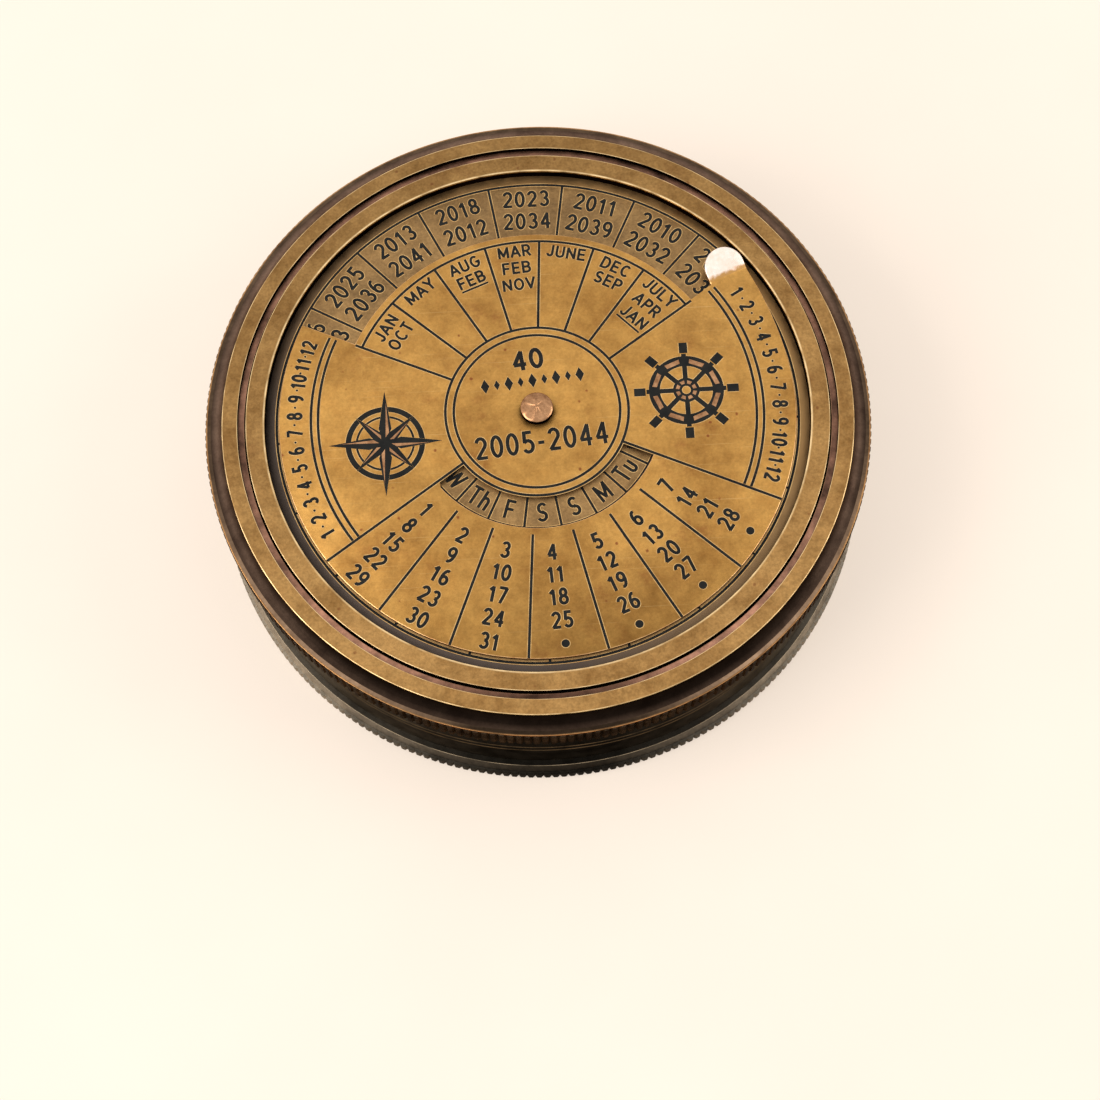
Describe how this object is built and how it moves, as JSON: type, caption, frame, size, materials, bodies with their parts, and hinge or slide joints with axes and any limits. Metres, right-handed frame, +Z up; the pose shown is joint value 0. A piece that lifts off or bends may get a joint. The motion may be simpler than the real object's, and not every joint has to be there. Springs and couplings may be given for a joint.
{
  "type": "calendar compass",
  "caption": "Round brass desk compass under a screwed lid that carries a fixed year plate and a turning calendar disc with a finger tab.",
  "frame": {"origin": "centre of the base plate's underside, where the compass stands", "axes": "+Z up along the common axis of all turned pieces, +Y to the far side of the calendar, +X to the right of someone who reads it"},
  "size_m": [0.0762, 0.0762, 0.0187],
  "materials": {
    "flange_brass": "knurled, dull grey-brown antique brass",
    "waist_brass": "dark brown antique brass, satin",
    "neck_brass": "dark brown antique brass, satin",
    "card_print": "matt off-white card",
    "degree_silver": "silvered brass, brushed",
    "boss_brass": "turned yellow brass",
    "pin_steel": "polished steel",
    "gasket_rubber": "black rubber",
    "window_glass": "clear flat glass",
    "retainer_brass": "turned brass",
    "needle_steel": "blued steel",
    "cap_brass": "turned yellow brass",
    "jewel_red": "polished synthetic jewel",
    "lid_brass": "antique brass, bright on the rim and dark in the cove",
    "bezel_brass": "bright antique brass",
    "plate_brass": "dull etched brass, black in the etching",
    "washer_fibre": "brown fibre",
    "disc_brass": "warm antique brass, black in the etching",
    "rivet_copper": "coppery polished brass",
    "burr_brass": "plain brass"
  },
  "bodies": {
    "case": {"base_plate": "flange_brass", "case_barrel": "waist_brass", "neck_ring": "neck_brass", "dial_card": "card_print", "degree_ring": "degree_silver", "pivot_boss": "boss_brass", "pivot_pin": "pin_steel", "glass_gasket": "gasket_rubber", "crystal_glass": "window_glass", "glass_ring": "retainer_brass"},
    "needle": {"compass_needle": "needle_steel", "needle_cap": "cap_brass", "cap_jewel": "jewel_red"},
    "lid": {"lid_shell": "lid_brass", "bezel_ring": "bezel_brass", "year_plate": "plate_brass", "disc_washer": "washer_fibre", "centre_rivet": "rivet_copper", "rivet_burr": "burr_brass"},
    "disc": {"calendar_disc": "disc_brass"}
  },
  "joints": [
    {"name": "lid_lift", "type": "slide", "parent": "case", "child": "lid", "axis": [0, 0, 1], "range_m": [0, 0.03]},
    {"name": "disc_spin", "type": "hinge", "parent": "lid", "child": "disc", "pos_m": [0, 0, 0.0169], "axis": [0, 0, 1], "continuous": true},
    {"name": "needle_swing", "type": "hinge", "parent": "case", "child": "needle", "pos_m": [0, 0, 0.007], "axis": [0, 0, 1], "continuous": true}
  ]
}
